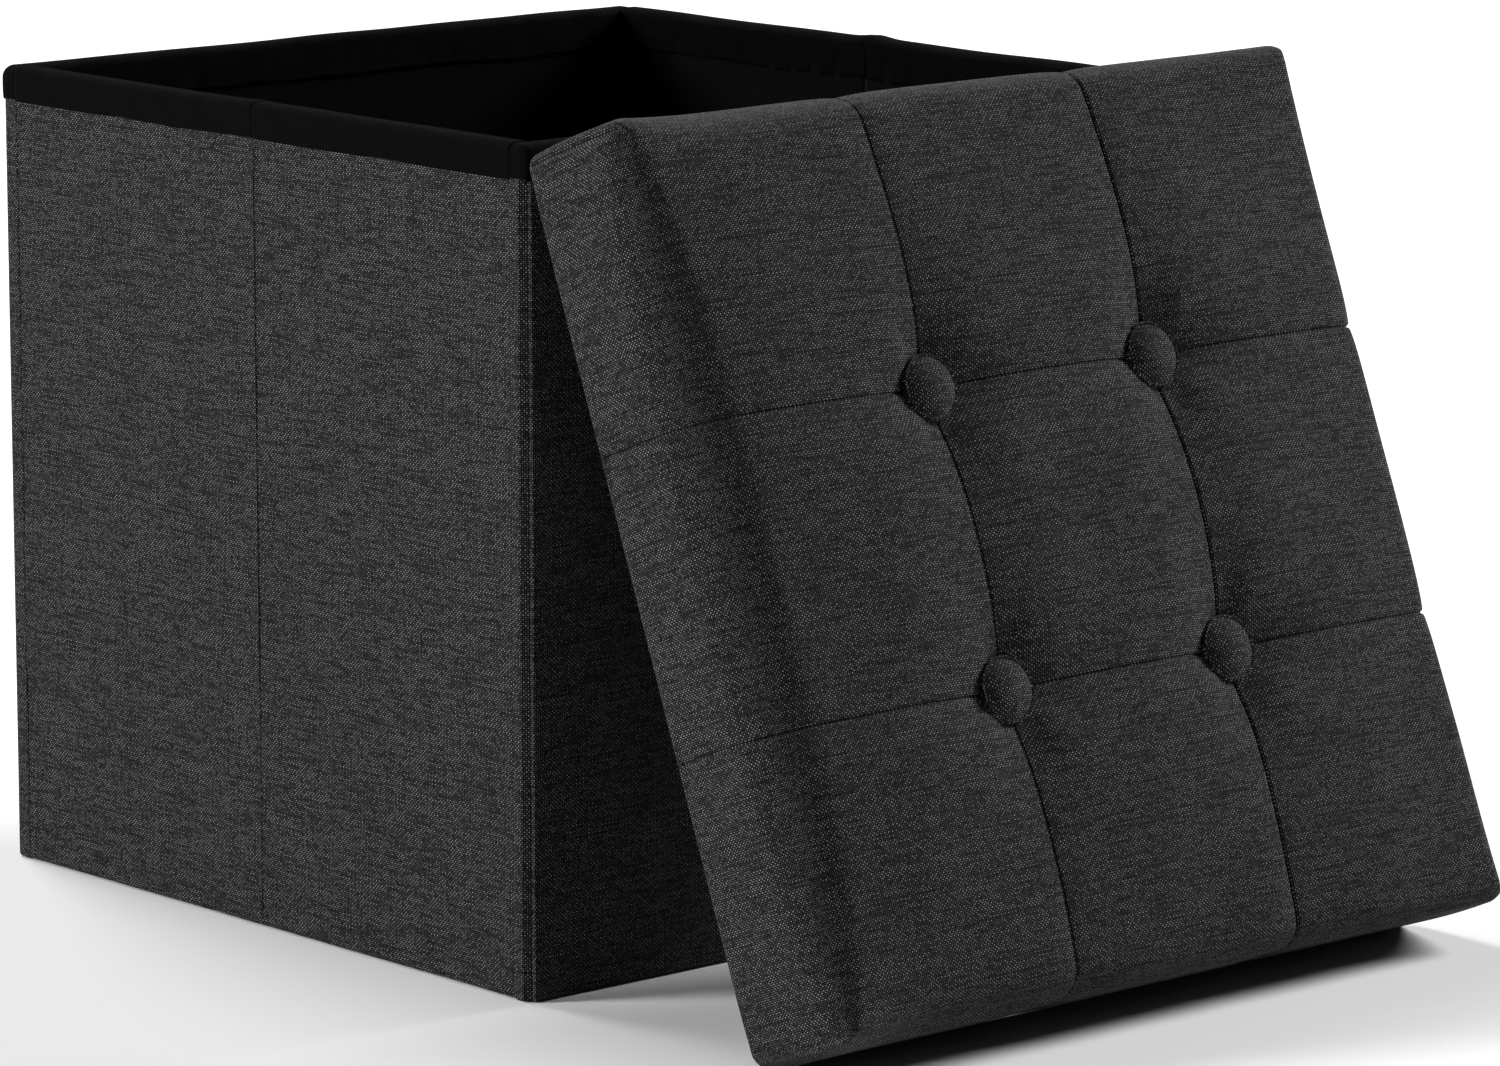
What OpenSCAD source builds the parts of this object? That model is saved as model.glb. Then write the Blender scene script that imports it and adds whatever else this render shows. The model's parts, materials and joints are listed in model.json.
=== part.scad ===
// Folding storage ottoman: an open cube of six fabric-covered panels, a loose base board
// and a loose tufted lid that leans against the front wall.
// Origin: on the floor, in the middle of the box. Front wall towards -Y, folding side walls
// at -X and +X, +Z up. All sizes in millimetres.

/* [Box] */
// Width and depth of the box over its covers
box_w = 380; // [300:5:450]
// Height of the box to the top of the rim
box_h = 376; // [250:1:450]
// Thickness of a finished wall
wall_t = 11; // [9:0.5:16]
// Radius of the four upright corners
corner_r = 6; // [2:0.5:8]

/* [Wall layers] */
// Thickness of the outer cover, linen on thin foam
cover_t = 3; // [2:0.5:4]
// Thickness of the fibreboard inside each wall
board_t = 6; // [3:0.5:6]
// Thickness of the cover where it is turned round a wall's end
end_wrap = 5; // [2.5:0.5:6]

/* [Rim binding] */
// How far the binding reaches down the outside
binding_out = 16; // [10:1:30]
// How far the binding reaches down the inside
binding_in = 20; // [10:1:30]
// Thickness of the binding's cloth
binding_t = 1.3; // [1:0.1:2]
// How far the binding stands proud of the wall
binding_proud = 0.3; // [0.1:0.1:0.4]

/* [Fabric hinges] */
// Distance from a wall's inner face to the corner hinge line
corner_hinge_gap = 1; // [0.8:0.1:2]
// Distance from a side wall's outer face to the middle fold line
fold_hinge_gap = 0.5; // [0.5:0.1:1]
// Gap between two panels that share a hinge
panel_gap = 2; // [1.5:0.1:4]
// Diameter of the sewn seam on a corner hinge line
corner_seam_d = 1.2; // [0.8:0.1:1.4]
// Diameter of the sewn seam on a middle fold line
fold_seam_d = 0.8; // [0.6:0.1:0.9]

/* [Base] */
// Thickness of the loose base board with its sleeve
base_t = 5; // [4:0.5:6]
// Gap between the base and the walls
base_gap = 1.5; // [1:0.5:3]
// Thickness of the sleeve's cloth
sleeve_t = 1; // [0.6:0.1:1.2]
// Height above the floor at which the moving walls start, over the base board
wall_lift = 7; // [6.5:0.5:9]
// Width of the pull tab
tab_w = 25; // [15:1:40]
// Length of the pull tab's flat loop
tab_l = 62; // [40:1:80]
// Thickness of the pull tab's ribbon
tab_t = 0.9; // [0.5:0.1:1]

/* [Lid] */
// Width and length of the lid
lid_w = 400; // [320:5:470]
// Thickness of the lid at its edge
lid_t = 68; // [45:1:80]
// Angle of the lid from upright as it leans on the front wall
lid_lean = 21.5; // [15:0.5:30]
// How far the leaning lid stands off the middle of the box towards +X
lid_offset = 5; // [-10:1:10]
// Radius of the lid's corners, seen from above
lid_corner_r = 16; // [12:1:24]
// Radius of the lid's padded top edge
lid_top_r = 15; // [8:1:15]
// How far the lid's top swells between its edges
lid_crown = 10; // [2:1:12]
// Thickness of the lid's board
lid_board_t = 6; // [4:0.5:9]
// Thickness of the lid's outer cover
lid_cover_t = 3; // [2:0.5:4]
// How far the cover is turned under the board
lid_turn_under = 26; // [20:1:35]
// Diameter of a covered button
button_d = 30; // [20:1:32]
// How far the buttons are pulled in below the lid's edge
button_sink = 2; // [1:1:12]

/* [Hidden] */
half = box_w / 2;
inner_half = half - wall_t;
hinge_at = inner_half - corner_hinge_gap;
side_len = inner_half - panel_gap;
hem_foot = 0.3;
board_foot = 1;
past = 1;
core_top = box_h - 1;
seam_foot = wall_lift + board_foot;
seam_top = box_h - binding_in - 1;

base_w = 2 * (inner_half - base_gap);
sleeve_r = 4;

// Lid axes: x across, y up the lean, z out of the padded face.
lid_half = lid_w / 2;
dust_t = 0.8;
staple_wire = 0.5;
flange_low = dust_t + staple_wire;
flange_t = 1.2;
lid_board_z = flange_low + flange_t;
lid_foam_z = lid_board_z + lid_board_t;
lid_bottom_r = 4;
crown_inner_r = lid_half * 0.35;
crown_outer_r = lid_half * 0.7;
crown_outer_h = lid_crown * 0.6;
crown_disc_t = 0.5;
foot_clear = 0.3;
rim_clear = 0.6;
rim_r = 1.6;
rim_edge_y = -half - binding_proud + rim_r;
rim_edge_z = box_h - rim_r;
lid_foot_y = rim_edge_y - (sin(lid_lean) * rim_edge_z + rim_r + rim_clear) / cos(lid_lean);
lid_foot_z = foot_clear + lid_bottom_r
    - (lid_bottom_r * cos(lid_lean) + (flange_low + lid_bottom_r) * sin(lid_lean));
button_at = lid_w / 6;
button_places = [for (x = [-1, 1], y = [-1, 1]) [x * button_at, lid_half + y * button_at]];
dimple_r = 40;
dimple_depth = lid_crown + button_sink;
button_ease = 1;
button_rim_h = 3;
button_dome_h = 4;
twine_d = 1.6;
knot_d = 12;
staple_w = 10;
staple_leg = 4;
staples_per_side = 8;
staple_inset = 18;
dust_cover_inset = 12;
tab_inset = 6;

charcoal = "#3b3a3c";
black_cloth = "#19191b";
board_brown = "#9c7a55";
foam_cream = "#e8dfc4";
steel_grey = "#9a9a9a";
twine_white = "#d8d4c8";

// Places. Each panel is drawn with x along its length, y from its outer face inwards.
module at_front() translate([-half, -half, 0]) children();
module at_back() translate([half, half, 0]) rotate(180) children();
module at_left(y_end) translate([-half, y_end, 0]) rotate(-90) children();
module at_right(y_start) translate([half, y_start, 0]) rotate(90) children();
module at_left_front() at_left(-panel_gap / 2) children();
module at_left_rear() at_left(panel_gap / 2 + side_len) children();
module at_right_front() at_right(-panel_gap / 2 - side_len) children();
module at_right_rear() at_right(panel_gap / 2) children();

// The lid as it leans on the front wall's rim, with its lower edge on the floor.
module at_lid() {
    translate([lid_offset, lid_foot_y, lid_foot_z]) rotate([90 - lid_lean, 0, 0]) children();
}

// Outline of a full wall seen from above: its two outer corners are round.
module full_wall_outline(grow) {
    r = corner_r + grow;
    intersection() {
        translate([-grow, -grow]) square([box_w + 2 * grow, wall_t + 2 * grow]);
        union() {
            translate([corner_r, -grow]) square([box_w - 2 * corner_r, wall_t + 2 * grow]);
            translate([-grow, corner_r]) square([box_w + 2 * grow, wall_t]);
            for (x = [corner_r, box_w - corner_r]) translate([x, corner_r]) circle(r, $fn = 40);
        }
    }
}

// Wall sections: y is the depth into the wall, z the height.
module side_section(points, length) {
    rotate([90, 0, 90]) linear_extrude(length) polygon(points);
}

function arc_points(cy, cz, r, from, to, steps) =
    [for (i = [0:steps]) let (a = from + (to - from) * i / steps) [cy + r * cos(a), cz + r * sin(a)]];

function binding_section() = concat(
    [[-binding_proud, box_h - binding_out]],
    arc_points(rim_r - binding_proud, rim_edge_z, rim_r, 180, 90, 6),
    arc_points(wall_t + binding_proud - rim_r, rim_edge_z, rim_r, 90, 0, 6),
    [[wall_t + binding_proud, box_h - binding_in],
     [wall_t + binding_proud - binding_t, box_h - binding_in],
     [wall_t + binding_proud - binding_t, core_top],
     [binding_t - binding_proud, core_top],
     [binding_t - binding_proud, box_h - binding_out]]);

function side_cover_section() = [
    [0, wall_lift], [0, box_h - binding_out], [binding_t - binding_proud, box_h - binding_out],
    [binding_t - binding_proud, core_top], [cover_t, core_top], [cover_t, wall_lift]];

function lining_section(foot) = let (skin = wall_t - (binding_t - binding_proud)) [
    [cover_t + board_t, foot], [cover_t + board_t, core_top], [skin, core_top],
    [skin, box_h - binding_in], [wall_t, box_h - binding_in], [wall_t, foot]];

module side_cover() {
    color(charcoal) side_section(side_cover_section(), side_len);
}

module side_board() {
    color(board_brown) translate([0, cover_t, wall_lift + board_foot])
        cube([side_len, board_t, core_top - wall_lift - board_foot]);
}

module side_lining() {
    color(black_cloth) side_section(lining_section(wall_lift), side_len);
}

module side_binding() {
    color(black_cloth) side_section(binding_section(), side_len);
}

module side_hem() {
    color(charcoal) translate([0, 0, hem_foot]) cube([side_len, cover_t, wall_lift - hem_foot]);
}

// The hollow that a full wall's cover is wrapped round: board and lining.
module full_wall_core(foot) {
    translate([end_wrap, cover_t, foot])
        cube([box_w - 2 * end_wrap, wall_t, box_h + 2 * past]);
}

module full_cover(foot) {
    color(charcoal) difference() {
        union() {
            translate([0, 0, foot]) linear_extrude(box_h - binding_out - foot)
                full_wall_outline(0);
            translate([0, 0, box_h - binding_out - past])
                linear_extrude(core_top - box_h + binding_out + past)
                    full_wall_outline(-(binding_t - binding_proud));
        }
        full_wall_core(foot - past);
    }
}

module full_board(foot) {
    color(board_brown) translate([end_wrap, cover_t, foot + board_foot])
        cube([box_w - 2 * end_wrap, board_t, core_top - foot - board_foot]);
}

module full_lining(foot) {
    color(black_cloth) translate([end_wrap, 0, 0])
        side_section(lining_section(foot), box_w - 2 * end_wrap);
}

// The binding runs over the rim and round both ends of a full wall. Its top edge is stepped
// round in two small layers.
module full_binding() {
    inset = binding_t - binding_proud;
    rim_web = box_h - core_top;
    color(black_cloth) difference() {
        union() {
            translate([0, 0, box_h - binding_out]) linear_extrude(binding_out - rim_web)
                full_wall_outline(binding_proud);
            translate([0, 0, core_top]) linear_extrude(rim_web / 2)
                full_wall_outline(0);
            translate([0, 0, core_top]) linear_extrude(rim_web)
                full_wall_outline(-rim_web / 2);
            translate([end_wrap, wall_t - inset, box_h - binding_in])
                cube([box_w - 2 * end_wrap, binding_t, binding_in - rim_web]);
        }
        translate([0, 0, box_h - binding_out - past])
            linear_extrude(binding_out + past - rim_web) full_wall_outline(-inset);
        translate([end_wrap, wall_t / 2, box_h - binding_in - past])
            cube([box_w - 2 * end_wrap, wall_t / 2 - inset, binding_in + past - rim_web]);
    }
}

module full_hem() {
    color(charcoal) difference() {
        translate([0, 0, hem_foot]) linear_extrude(wall_lift - hem_foot) full_wall_outline(0);
        full_wall_core(-past);
    }
}

// A sewn seam that lies along a hinge line and joins two panels.
module seam(x, y, d) {
    color(charcoal) translate([x, y, seam_foot]) cylinder(d = d, h = seam_top - seam_foot, $fn = 24);
}

module rounded_plate(w, r, t) {
    linear_extrude(t) union() {
        translate([r, 0]) square([w - 2 * r, w]);
        translate([0, r]) square([w, w - 2 * r]);
        for (x = [r, w - r], y = [r, w - r]) translate([x, y]) circle(r, $fn = 32);
    }
}

module base_plate(inset, t) {
    w = base_w - 2 * inset;
    translate([-w / 2, -w / 2, 0]) rounded_plate(w, sleeve_r, t);
}

module base_board() {
    color(board_brown) translate([0, 0, sleeve_t]) base_plate(sleeve_t, base_t - 2 * sleeve_t);
}

module base_sleeve() {
    color(black_cloth) difference() {
        base_plate(0, base_t);
        translate([0, 0, sleeve_t]) base_plate(sleeve_t, base_t - 2 * sleeve_t);
    }
}

module base_pull_tab() {
    slot_w = tab_w / 3;
    color(black_cloth) translate([-tab_w / 2, base_w / 2 - tab_l - tab_inset, base_t]) difference() {
        cube([tab_w, tab_l, tab_t]);
        translate([slot_w, slot_w, -past]) cube([slot_w, tab_l - 3 * slot_w, tab_t + 2 * past]);
    }
}

// Padded block of the lid, drawn with its lower edge on y = 0.
module lid_block(inset, low, high) {
    r = lid_corner_r - inset;
    e = lid_top_r - inset;
    hull() {
        for (x = [-1, 1], y = [-1, 1]) translate([x * (lid_half - lid_corner_r),
                lid_half + y * (lid_half - lid_corner_r), 0]) {
            translate([0, 0, low]) cylinder(r1 = r - lid_bottom_r / 2, r2 = r,
                h = lid_bottom_r, $fn = 32);
            translate([0, 0, high - e]) rotate_extrude($fn = 32)
                intersection() { translate([r - e, 0]) circle(e, $fn = 32); square(r); }
        }
        translate([0, lid_half, high + lid_crown - crown_disc_t])
            cylinder(r = crown_inner_r, h = crown_disc_t, $fn = 48);
        translate([0, lid_half, high + crown_outer_h - crown_disc_t])
            cylinder(r = crown_outer_r, h = crown_disc_t, $fn = 48);
    }
}

module lid_dimples() {
    for (p = button_places) translate([p[0], p[1], lid_t - button_sink])
        cylinder(r1 = button_d / 2 + button_ease, r2 = dimple_r, h = dimple_depth + past, $fn = 32);
}

module lid_board() {
    w = lid_w - 2 * lid_cover_t;
    color(board_brown) at_lid() translate([-w / 2, lid_cover_t, lid_board_z])
        rounded_plate(w, lid_corner_r - lid_cover_t, lid_board_t);
}

module lid_foam() {
    w = lid_w;
    color(foam_cream) at_lid() difference() {
        lid_block(lid_cover_t, lid_foam_z - lid_bottom_r, lid_t - lid_cover_t);
        translate([-w / 2, 0, -past]) cube([w, w, lid_foam_z + past]);
        translate([0, 0, -lid_cover_t]) lid_dimples();
    }
}

module lid_cover() {
    open_w = lid_w - 2 * lid_turn_under;
    w = lid_w - 2 * lid_cover_t;
    color(charcoal) at_lid() difference() {
        lid_block(0, flange_low, lid_t);
        difference() {
            lid_block(lid_cover_t, lid_foam_z - lid_bottom_r, lid_t - lid_cover_t);
            translate([0, 0, -lid_cover_t]) lid_dimples();
        }
        lid_dimples();
        translate([-w / 2, lid_cover_t, lid_board_z])
            rounded_plate(w, lid_corner_r - lid_cover_t, lid_board_t);
        translate([-open_w / 2, lid_turn_under, 0]) cube([open_w, open_w, lid_board_z + past]);
    }
}

module lid_dust_cover() {
    w = lid_w - 2 * dust_cover_inset;
    color(black_cloth) at_lid() translate([-w / 2, dust_cover_inset, 0])
        rounded_plate(w, sleeve_r, dust_t);
}

module lid_buttons() {
    ball_r = (pow(button_d / 2, 2) + pow(button_dome_h, 2)) / (2 * button_dome_h);
    color(charcoal) at_lid() for (p = button_places)
        translate([p[0], p[1], lid_t - button_sink]) {
            cylinder(d = button_d, h = button_rim_h, $fn = 48);
            translate([0, 0, button_rim_h]) intersection() {
                translate([0, 0, button_dome_h - ball_r]) sphere(ball_r, $fn = 64);
                cylinder(d = button_d, h = button_dome_h, $fn = 48);
            }
        }
}

module lid_button_twines() {
    color(twine_white) at_lid() for (p = button_places) translate([p[0], p[1], lid_board_z])
        cylinder(d = twine_d, h = lid_t - button_sink - lid_board_z, $fn = 16);
}

module lid_twine_knots() {
    color(twine_white) at_lid() for (p = button_places)
        translate([p[0], p[1], dust_t]) cylinder(d = knot_d, h = lid_board_z - dust_t, $fn = 24);
}

// One staple, its crown on the turned-under cover and its legs in the board.
module staple() {
    translate([-staple_w / 2, -staple_wire / 2, 0]) {
        cube([staple_w, staple_wire, staple_wire]);
        for (x = [0, staple_w - staple_wire]) translate([x, 0, 0])
            cube([staple_wire, staple_wire, staple_wire + flange_t + staple_leg]);
    }
}

module lid_staples() {
    pitch = (lid_w - 2 * lid_turn_under) / (staples_per_side - 1);
    color(steel_grey) at_lid() translate([0, lid_half, dust_t]) for (side = [0:3])
        rotate(90 * side) translate([0, staple_inset - lid_half, 0])
            for (i = [0:staples_per_side - 1])
                translate([(i - (staples_per_side - 1) / 2) * pitch, 0, 0]) staple();
}

at_front() full_cover(0);  // front_cover
at_front() full_board(0);  // front_board
at_front() full_lining(0);  // front_lining
at_front() full_binding();  // front_binding
at_left_front() side_cover();  // left_front_cover
at_left_front() side_board();  // left_front_board
at_left_front() side_lining();  // left_front_lining
at_left_front() side_binding();  // left_front_binding
at_left_rear() side_cover();  // left_rear_cover
at_left_rear() side_board();  // left_rear_board
at_left_rear() side_lining();  // left_rear_lining
at_left_rear() side_binding();  // left_rear_binding
at_right_front() side_cover();  // right_front_cover
at_right_front() side_board();  // right_front_board
at_right_front() side_lining();  // right_front_lining
at_right_front() side_binding();  // right_front_binding
at_right_rear() side_cover();  // right_rear_cover
at_right_rear() side_board();  // right_rear_board
at_right_rear() side_lining();  // right_rear_lining
at_right_rear() side_binding();  // right_rear_binding
at_back() full_cover(wall_lift);  // back_cover
at_back() full_board(wall_lift);  // back_board
at_back() full_lining(wall_lift);  // back_lining
at_back() full_binding();  // back_binding
at_left_front() side_hem();  // left_front_hem
at_left_rear() side_hem();  // left_rear_hem
at_right_front() side_hem();  // right_front_hem
at_right_rear() side_hem();  // right_rear_hem
at_back() full_hem();  // back_hem
seam(-hinge_at, -hinge_at, corner_seam_d);  // front_left_seam
seam(hinge_at, -hinge_at, corner_seam_d);  // front_right_seam
seam(-hinge_at, hinge_at, corner_seam_d);  // back_left_seam
seam(hinge_at, hinge_at, corner_seam_d);  // back_right_seam
seam(-half - fold_hinge_gap, 0, fold_seam_d);  // left_fold_seam
seam(half + fold_hinge_gap, 0, fold_seam_d);  // right_fold_seam
base_board();
base_sleeve();
base_pull_tab();
lid_board();
lid_foam();
lid_cover();
lid_dust_cover();
lid_buttons();
lid_button_twines();
lid_twine_knots();
lid_staples();
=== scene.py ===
import json
import math

import bmesh
import bpy
import numpy as np
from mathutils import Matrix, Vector


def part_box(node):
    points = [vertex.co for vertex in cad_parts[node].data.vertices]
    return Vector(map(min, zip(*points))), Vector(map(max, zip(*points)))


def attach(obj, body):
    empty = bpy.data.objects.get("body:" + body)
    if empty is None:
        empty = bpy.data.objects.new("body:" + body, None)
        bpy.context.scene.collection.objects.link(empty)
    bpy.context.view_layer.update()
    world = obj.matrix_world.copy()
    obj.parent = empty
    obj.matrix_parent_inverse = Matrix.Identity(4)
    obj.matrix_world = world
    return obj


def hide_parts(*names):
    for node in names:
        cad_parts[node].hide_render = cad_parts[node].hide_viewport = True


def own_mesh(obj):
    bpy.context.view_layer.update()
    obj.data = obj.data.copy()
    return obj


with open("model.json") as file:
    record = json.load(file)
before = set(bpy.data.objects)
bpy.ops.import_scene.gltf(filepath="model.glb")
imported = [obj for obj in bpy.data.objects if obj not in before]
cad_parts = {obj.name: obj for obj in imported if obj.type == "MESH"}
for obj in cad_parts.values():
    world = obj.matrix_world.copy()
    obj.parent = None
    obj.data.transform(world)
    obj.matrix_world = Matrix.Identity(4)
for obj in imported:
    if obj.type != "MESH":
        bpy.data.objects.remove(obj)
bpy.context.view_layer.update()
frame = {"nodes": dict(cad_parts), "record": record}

# ---------------------------------------------------------------- measures, in metres
MM = 0.001
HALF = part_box("front_cover")[1].x                  # half of the box's width over its covers
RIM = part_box("front_binding")[1].z                 # height of the rim
INNER = -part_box("front_lining")[1].y               # from the middle to a wall's inner face
WALL = HALF - INNER                                # thickness of a wall
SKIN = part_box("left_front_cover")[1].x + HALF      # thickness of a cover
BOARD_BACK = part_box("left_front_board")[1].x + HALF
FOLD_AT = -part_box("left_front_cover")[1].y         # from the middle fold to a half panel
PANEL = -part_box("left_front_cover")[0].y - FOLD_AT
END_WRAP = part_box("front_board")[0].x + HALF       # cover round a full wall's end
OUT_LEG = 16 * MM                                  # how far the binding reaches down outside
IN_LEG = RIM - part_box("left_front_binding")[0].z   # and inside
BIND_T = 1.2 * MM                                  # thickness of the folded binding
HEM_FOOT = 0.5 * MM                                # height of the covers' lower edge

LID_HALF = (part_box("lid_cover")[1].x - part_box("lid_cover")[0].x) / 2
LID_FOOT = 1.3 * MM                                # where the cover starts, over the dust cover
LID_BOARD_T = 6 * MM
LID_BOARD_FOOT = LID_FOOT + 1.2 * MM
LID_BOARD_TOP = LID_BOARD_FOOT + LID_BOARD_T
LID_EDGE = 68 * MM                                 # height of the lid's edge
LID_CROWN = 11.5 * MM                              # how far the lid's middle rises over its edge
SEAM_AT = LID_HALF / 3                             # the buttons stand where the seams cross
BUTTON_SPOTS = [(x, y) for x in (-SEAM_AT, SEAM_AT) for y in (-SEAM_AT, SEAM_AT)]
BUTTON_R = 15 * MM
BUTTON_SEAT = 66 * MM                              # height of a button's lower edge
WARP_PITCH, WEFT_PITCH = 1.03 * MM, 0.92 * MM      # of the linen's threads
TINY = 1e-9                                        # keeps a zero length from being divided by


def lid_axes():
    """The middle of the lid's underside, and the directions across, up the lean and out of the face.

    The leaning board is as high as it is wide, so its box measures width * lean + thick * rise in y
    and width * rise + thick * lean in z, where rise and lean are the parts of its direction up.
    """
    low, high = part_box("lid_board")
    size = high - low
    thick = LID_BOARD_T
    square = size.x ** 2 - thick ** 2
    rise = (size.x * size.z - thick * size.y) / square
    lean = (size.x * size.y - thick * size.z) / square
    up = Vector((0, lean, rise))
    out = Vector((0, -rise, lean))
    board_middle = LID_BOARD_FOOT + thick / 2
    return (low + high) / 2 - out * board_middle, Vector((1, 0, 0)), up, out


LID_O, LID_X, LID_Y, LID_N = (np.array(v) for v in lid_axes())


def lid_point(p):
    """Lid coordinates (across, up the lean from the middle, out of the face) to the frame."""
    p = np.asarray(p)
    return LID_O + p[..., 0:1] * LID_X + p[..., 1:2] * LID_Y + p[..., 2:3] * LID_N


# ---------------------------------------------------------------- mesh helpers
def ripple(seed, a, b, wavelength, count=6):
    """Smooth unevenness, about -1 to 1, over two coordinates in metres."""
    rng = np.random.default_rng(seed)
    total = 0
    for _ in range(count):
        turn, phase = rng.uniform(0, math.tau, 2)
        k = math.tau / (wavelength * rng.uniform(0.7, 1.5))
        total = total + np.sin(k * (a * math.cos(turn) + b * math.sin(turn)) + phase)
    return total / math.sqrt(2 * count)


def smooth(x, start, end):
    """0 at the start, 1 at the end, and an even ramp between them."""
    t = np.clip((x - start) / (end - start), 0, 1)
    return t * t * (3 - 2 * t)


def new_piece(name, bm, material):
    """A smooth-shaded object made from a bmesh, with its material."""
    bmesh.ops.recalc_face_normals(bm, faces=bm.faces)
    mesh = bpy.data.meshes.new(name)
    bm.to_mesh(mesh)
    bm.free()
    mesh.polygons.foreach_set("use_smooth", [True] * len(mesh.polygons))
    mesh.materials.append(material)
    piece = bpy.data.objects.new(name, mesh)
    bpy.context.scene.collection.objects.link(piece)
    return piece


def add_grid(bm, points, u, v, flip=False):
    """Quads over a grid of points [rows, columns, 3], with cloth coordinates u and v."""
    layer = bm.loops.layers.uv.verify()
    rows, columns = points.shape[:2]
    verts = [[bm.verts.new(points[k, i]) for i in range(columns)] for k in range(rows)]
    for k in range(rows - 1):
        for i in range(columns - 1):
            corners = [(k, i), (k, i + 1), (k + 1, i + 1), (k + 1, i)]
            if flip:
                corners.reverse()
            face = bm.faces.new([verts[a][b] for a, b in corners])
            for loop, (a, b) in zip(face.loops, corners):
                loop[layer].uv = (u[a, b], v[a, b])
    return verts


def bridge(bm, row_a, row_b, uv_row):
    """A strip of quads that joins two rows of vertices."""
    layer = bm.loops.layers.uv.verify()
    for i in range(len(row_a) - 1):
        face = bm.faces.new([row_a[i], row_a[i + 1], row_b[i + 1], row_b[i]])
        for loop, j in zip(face.loops, (i, i + 1, i + 1, i)):
            loop[layer].uv = uv_row[j]


def thick_sheet(name, front, back, u, v, material):
    """A closed sheet of cloth between two grids of points of the same shape."""
    bm = bmesh.new()
    a = add_grid(bm, front, u, v)
    b = add_grid(bm, back, u, v, flip=True)
    columns = range(len(a[0]))
    rows = range(len(a))
    for k in (0, -1):
        bridge(bm, a[k], b[k], [(u[k, i], v[k, i]) for i in columns])
    for i in (0, -1):
        ends = [row[i] for row in a], [row[i] for row in b]
        bridge(bm, *ends, [(u[k, i], v[k, i]) for k in rows])
    return new_piece(name, bm, material)


def path_length(points):
    """Distance along a path of points [n, 2] to each of them."""
    steps = np.linalg.norm(np.diff(points, axis=0), axis=1)
    return np.concatenate([[0], np.cumsum(steps)])


def arc(centre, radii, start, end, count):
    """Points on an ellipse between two angles in degrees."""
    t = np.radians(np.linspace(start, end, count))
    return np.stack([centre[0] + radii[0] * np.cos(t), centre[1] + radii[1] * np.sin(t)], 1)


def line(a, b, count):
    """Points from one to another."""
    return np.linspace(a, b, count)


# ---------------------------------------------------------------- materials
class Shader:
    """One material's nodes."""

    def __init__(self, name):
        self.material = bpy.data.materials.new(name)
        self.material.use_nodes = True
        self.tree = self.material.node_tree
        self.bsdf = self.tree.nodes["Principled BSDF"]

    def node(self, kind, inputs=(), **settings):
        made = self.tree.nodes.new("ShaderNode" + kind)
        for key, value in settings.items():
            setattr(made, key, value)
        for key, value in dict(inputs).items():
            self.set(made, key, value)
        return made

    def set(self, node, key, value):
        if isinstance(value, bpy.types.NodeSocket):
            self.tree.links.new(value, node.inputs[key])
        else:
            node.inputs[key].default_value = value

    def math(self, operation, a, b=0.0):
        return self.node("Math", {0: a, 1: b}, operation=operation).outputs[0]

    def times(self, a, b):
        return self.math("MULTIPLY", a, b)

    def plus(self, a, b):
        return self.math("ADD", a, b)

    def remap(self, value, low, high, to_low, to_high):
        inputs = {"Value": value, "From Min": low, "From Max": high, "To Min": to_low, "To Max": to_high}
        return self.node("MapRange", inputs).outputs["Result"]

    def vector(self, x, y, z=0.0):
        return self.node("CombineXYZ", {"X": x, "Y": y, "Z": z}).outputs[0]

    def noise(self, vector, scale=1.0, detail=2.0, roughness=0.5):
        inputs = {"Vector": vector, "Scale": scale, "Detail": detail, "Roughness": roughness}
        return self.node("TexNoise", inputs).outputs["Fac"]

    def cells(self, vector, scale):
        return self.node("TexVoronoi", {"Vector": vector, "Scale": scale}).outputs["Distance"]

    def stretched(self, x, x_scale, y, y_scale, layer=0.0):
        """Coordinates scaled unevenly, so that noise over them is drawn out along a thread."""
        return self.vector(self.times(x, x_scale), self.times(y, y_scale), layer)

    def cloth_coordinates(self):
        """The piece's cloth coordinates along and across the weft, in metres."""
        uv = self.node("UVMap").outputs["UV"]
        split = self.node("SeparateXYZ", {"Vector": uv})
        return split.outputs["X"], split.outputs["Y"]

    def object_coordinates(self):
        return self.node("TexCoord").outputs["Object"]

    def mix(self, factor, a, b):
        made = self.node("Mix", data_type="RGBA")
        for socket, value in ((0, factor), (6, a), (7, b)):
            self.set(made, socket, value)
        return made.outputs[2]

    def finish(self, color, roughness, height, bump, **constants):
        """Connects the main inputs, and sets others by name, such as sheen_weight."""
        self.set(self.bsdf, "Base Color", color)
        self.set(self.bsdf, "Roughness", roughness)
        made = self.node("Bump", {"Height": height, "Distance": bump})
        self.set(self.bsdf, "Normal", made.outputs[0])
        for key, value in constants.items():
            self.bsdf.inputs[key.replace("_", " ").title().replace("Ior", "IOR")].default_value = value
        return self.material


def plain_weave(s, warp_pitch, weft_pitch):
    """Bumps of the weft and the warp over each other, and the numbers of the threads."""
    u, v = s.cloth_coordinates()
    a, b = s.math("DIVIDE", u, warp_pitch), s.math("DIVIDE", v, weft_pitch)
    waves = [s.math("SINE", s.times(x, math.pi)) for x in (a, b)]
    product = s.times(*waves)
    weft = s.math("MAXIMUM", product, 0.0)
    warp = s.math("MAXIMUM", s.times(product, -1.0), 0.0)
    return u, v, s.math("FLOOR", a), s.math("FLOOR", b), weft, warp


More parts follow.
